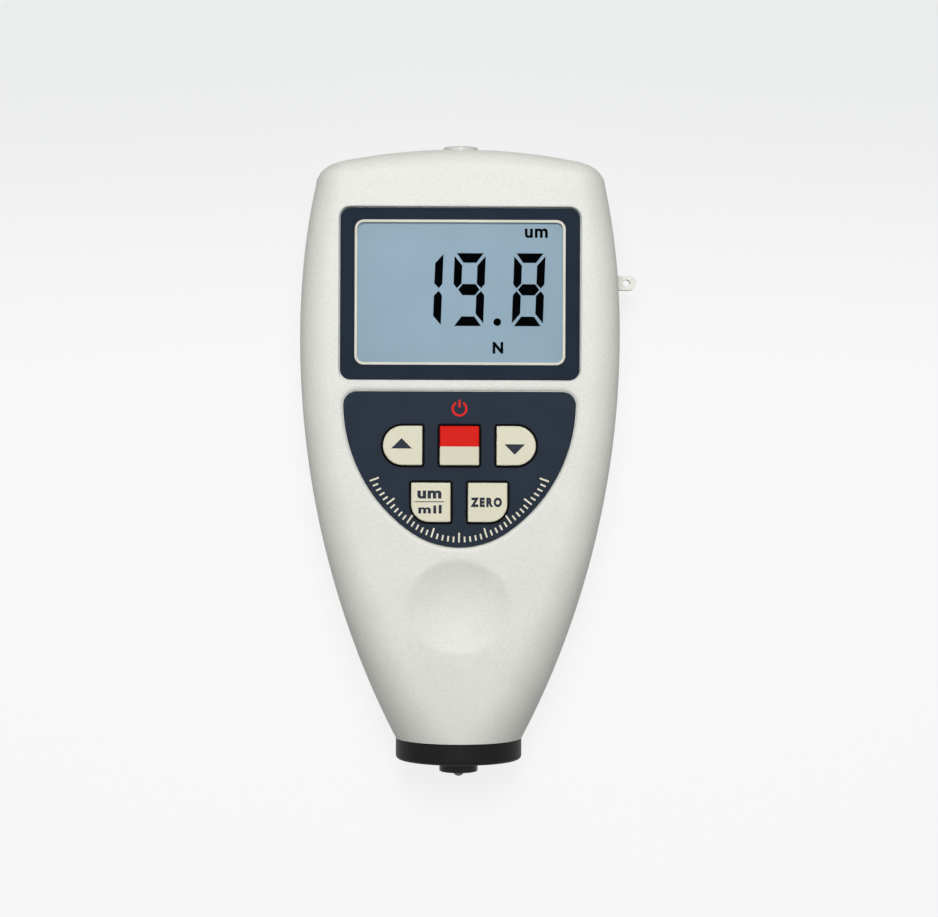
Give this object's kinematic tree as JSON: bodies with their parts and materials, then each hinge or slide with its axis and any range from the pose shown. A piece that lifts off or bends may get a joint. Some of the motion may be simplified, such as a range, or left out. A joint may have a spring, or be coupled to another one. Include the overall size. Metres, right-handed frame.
{
  "type": "coating thickness gauge",
  "caption": "Handheld coating thickness gauge: tapered pale case with a numeric display, a keypad and a spring-loaded probe in a black collar at the narrow end.",
  "frame": {"origin": "on the flat back, in the middle of its width and 39.5 mm above the nose face; the gauge lies on its back", "axes": "+X to the right seen from the front, +Y along the case towards the top end, +Z out of the display face"},
  "size_m": [0.0677, 0.1264, 0.0275],
  "materials": {
    "case_plastic": "fine moulded grain",
    "screw_steel": "zinc plated",
    "window_pane": "clear pane with a dark printed border",
    "overlay_film": "fine matte film",
    "key_plastic": "smooth",
    "black_plastic": "moulded",
    "board_laminate": "solder mask",
    "display_glass": "smooth",
    "white_plastic": "moulded",
    "strip_rubber": "layered",
    "collar_plastic": "satin moulded",
    "sleeve_metal": "black anodised",
    "tip_steel": "polished",
    "coil_wire": "enamelled copper",
    "lead_rubber": "smooth",
    "spring_steel": "drawn wire",
    "contact_metal": "nickel plated",
    "cell_jacket": "printed sleeve"
  },
  "bodies": {
    "case": {"front_case": "case_plastic", "rear_case": "case_plastic", "case_screws": "screw_steel", "board_screws": "screw_steel", "display_window": "window_pane", "keypad_overlay": "overlay_film", "up_switch": "black_plastic", "power_switch": "black_plastic", "down_switch": "black_plastic", "unit_switch": "black_plastic", "zero_switch": "black_plastic", "buzzer": "black_plastic", "main_chip": "black_plastic", "data_jack": "black_plastic", "main_board": "board_laminate", "lcd_glass": "display_glass", "lcd_frame": "white_plastic", "lcd_backlight": "white_plastic", "probe_connector": "white_plastic", "spring_seat": "white_plastic", "zebra_upper": "strip_rubber", "zebra_lower": "strip_rubber", "probe_collar": "collar_plastic", "probe_lead": "lead_rubber", "probe_spring": "spring_steel", "cell_spring_1": "spring_steel", "cell_spring_2": "spring_steel", "cell_spring_3": "spring_steel", "cell_spring_4": "spring_steel", "bridge_contact_1": "contact_metal", "bridge_contact_2": "contact_metal", "bridge_contact_3": "contact_metal", "negative_terminal": "contact_metal", "positive_terminal": "contact_metal", "cell_1": "cell_jacket", "cell_2": "cell_jacket", "cell_3": "cell_jacket", "cell_4": "cell_jacket"},
    "up_button": {"up_key": "key_plastic", "up_plunger": "black_plastic"},
    "power_button": {"power_key": "key_plastic", "power_plunger": "black_plastic"},
    "down_button": {"down_key": "key_plastic", "down_plunger": "black_plastic"},
    "unit_button": {"unit_key": "key_plastic", "unit_plunger": "black_plastic"},
    "zero_button": {"zero_key": "key_plastic", "zero_plunger": "black_plastic"},
    "probe": {"probe_sleeve": "sleeve_metal", "probe_core": "tip_steel", "probe_bobbin": "white_plastic", "probe_coil": "coil_wire", "probe_stem": "sleeve_metal"},
    "door": {"battery_door": "case_plastic"}
  },
  "joints": [
    {"name": "up_press", "type": "slide", "parent": "case", "child": "up_button", "axis": [0, 0, -1], "range_m": [0, 0.0005], "stiffness_N_per_m": 600, "springref_m": -0.002},
    {"name": "power_press", "type": "slide", "parent": "case", "child": "power_button", "axis": [0, 0, -1], "range_m": [0, 0.0005], "stiffness_N_per_m": 600, "springref_m": -0.002},
    {"name": "down_press", "type": "slide", "parent": "case", "child": "down_button", "axis": [0, 0, -1], "range_m": [0, 0.0005], "stiffness_N_per_m": 600, "springref_m": -0.002},
    {"name": "unit_press", "type": "slide", "parent": "case", "child": "unit_button", "axis": [0, 0, -1], "range_m": [0, 0.0005], "stiffness_N_per_m": 600, "springref_m": -0.002},
    {"name": "zero_press", "type": "slide", "parent": "case", "child": "zero_button", "axis": [0, 0, -1], "range_m": [0, 0.0005], "stiffness_N_per_m": 600, "springref_m": -0.002},
    {"name": "probe_press", "type": "slide", "parent": "case", "child": "probe", "axis": [0, 1, 0], "range_m": [0, 0.0036], "stiffness_N_per_m": 300, "springref_m": -0.004, "deforming": ["probe_spring", "probe_lead"]},
    {"name": "door_slide", "type": "slide", "parent": "case", "child": "door", "axis": [0, 1, 0], "range_m": [0, 0.066]}
  ]
}
